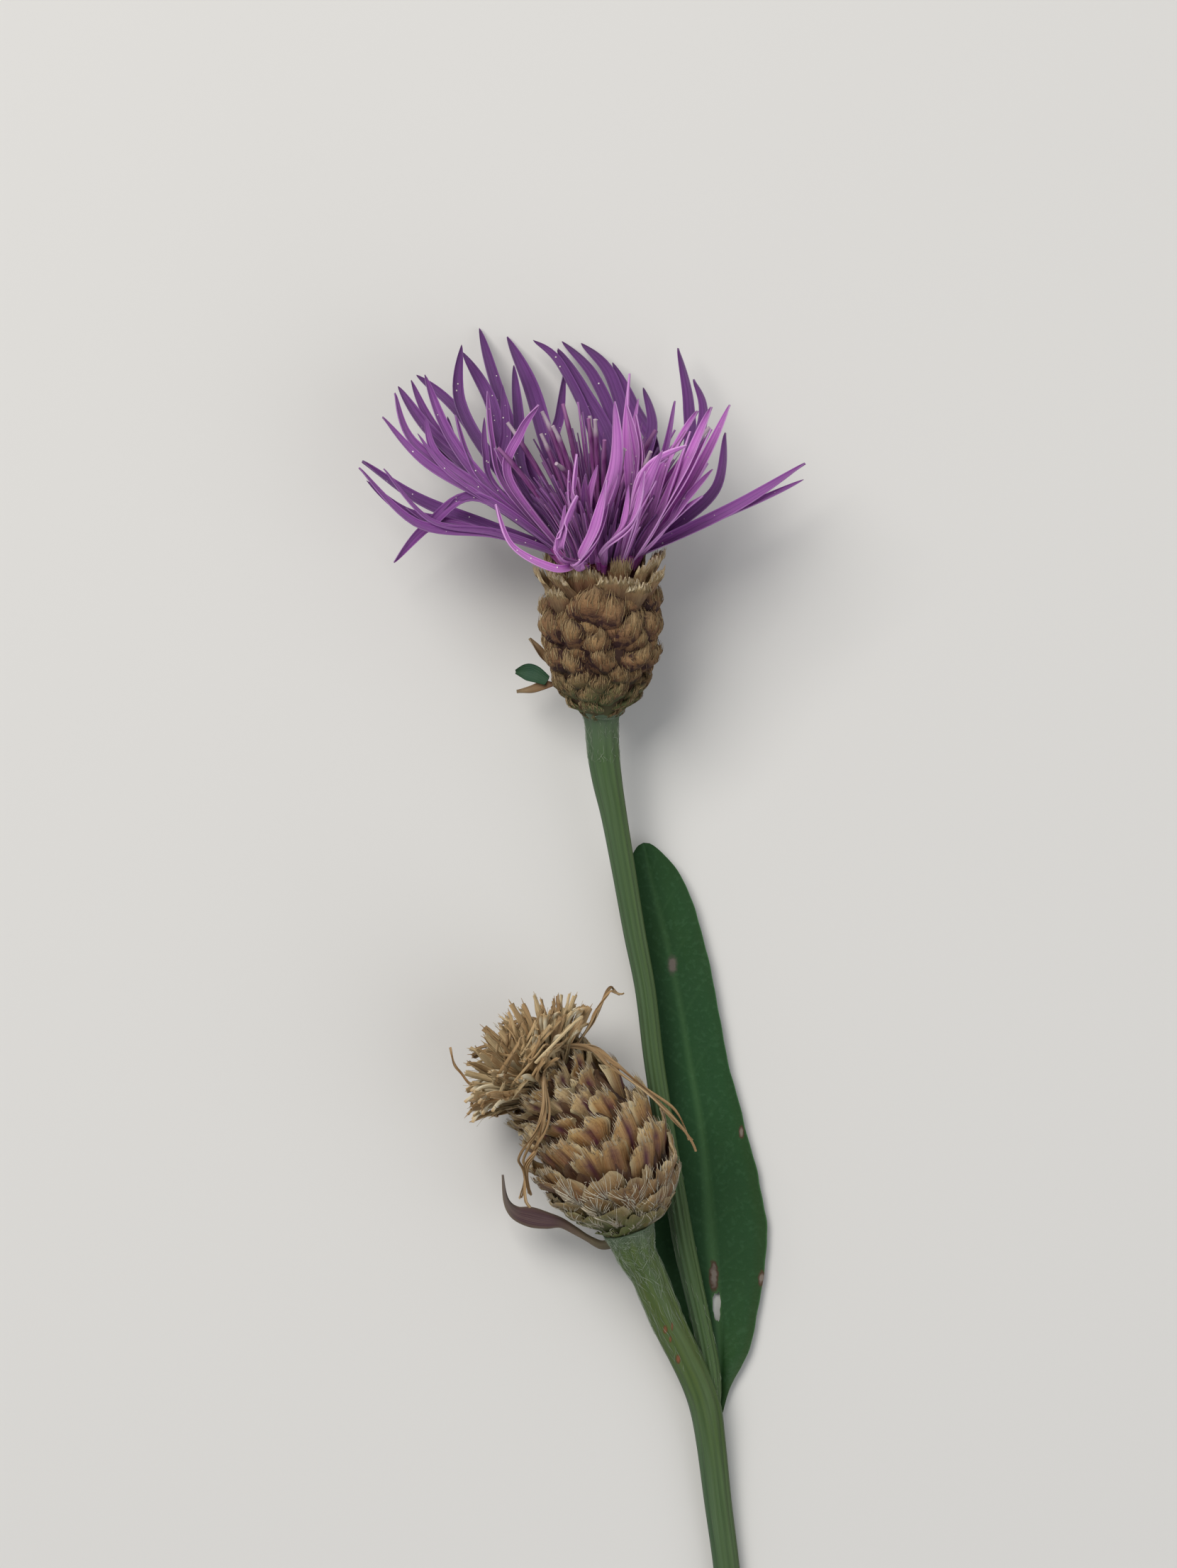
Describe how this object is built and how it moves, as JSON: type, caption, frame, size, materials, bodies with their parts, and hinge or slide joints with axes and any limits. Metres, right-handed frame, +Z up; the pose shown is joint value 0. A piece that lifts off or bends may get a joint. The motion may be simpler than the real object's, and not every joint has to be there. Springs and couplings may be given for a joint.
{
  "type": "knapweed flower sprig",
  "caption": "Cut knapweed sprig lying flat: a purple bloom on a scaly brown cup, a dry seed head with a straw tuft, a forked stem and a lance-shaped leaf.",
  "frame": {"origin": "middle of the sprig's outline seen from above, on the surface it lies on", "axes": "+Y runs up the stem from the cut end to the bloom, +X is to the right seen from above, +Z points up from the surface"},
  "size_m": [0.0393, 0.1153, 0.0216],
  "materials": {
    "stem_green": "matte",
    "leaf_green": "satin",
    "scale_brown": "matte",
    "floret_purple": "matte",
    "leaflet_green": "matte",
    "dry_scale": "matte",
    "dry_floret": "matte",
    "dry_leaf": "matte"
  },
  "bodies": {
    "root": {"stem": "stem_green", "leaf": "leaf_green", "bloom_involucre": "scale_brown", "bloom_florets": "floret_purple", "bloom_leaflet": "leaflet_green", "seedhead_involucre": "dry_scale", "seedhead_tuft": "dry_floret", "dry_bract": "dry_leaf"}
  },
  "joints": []
}
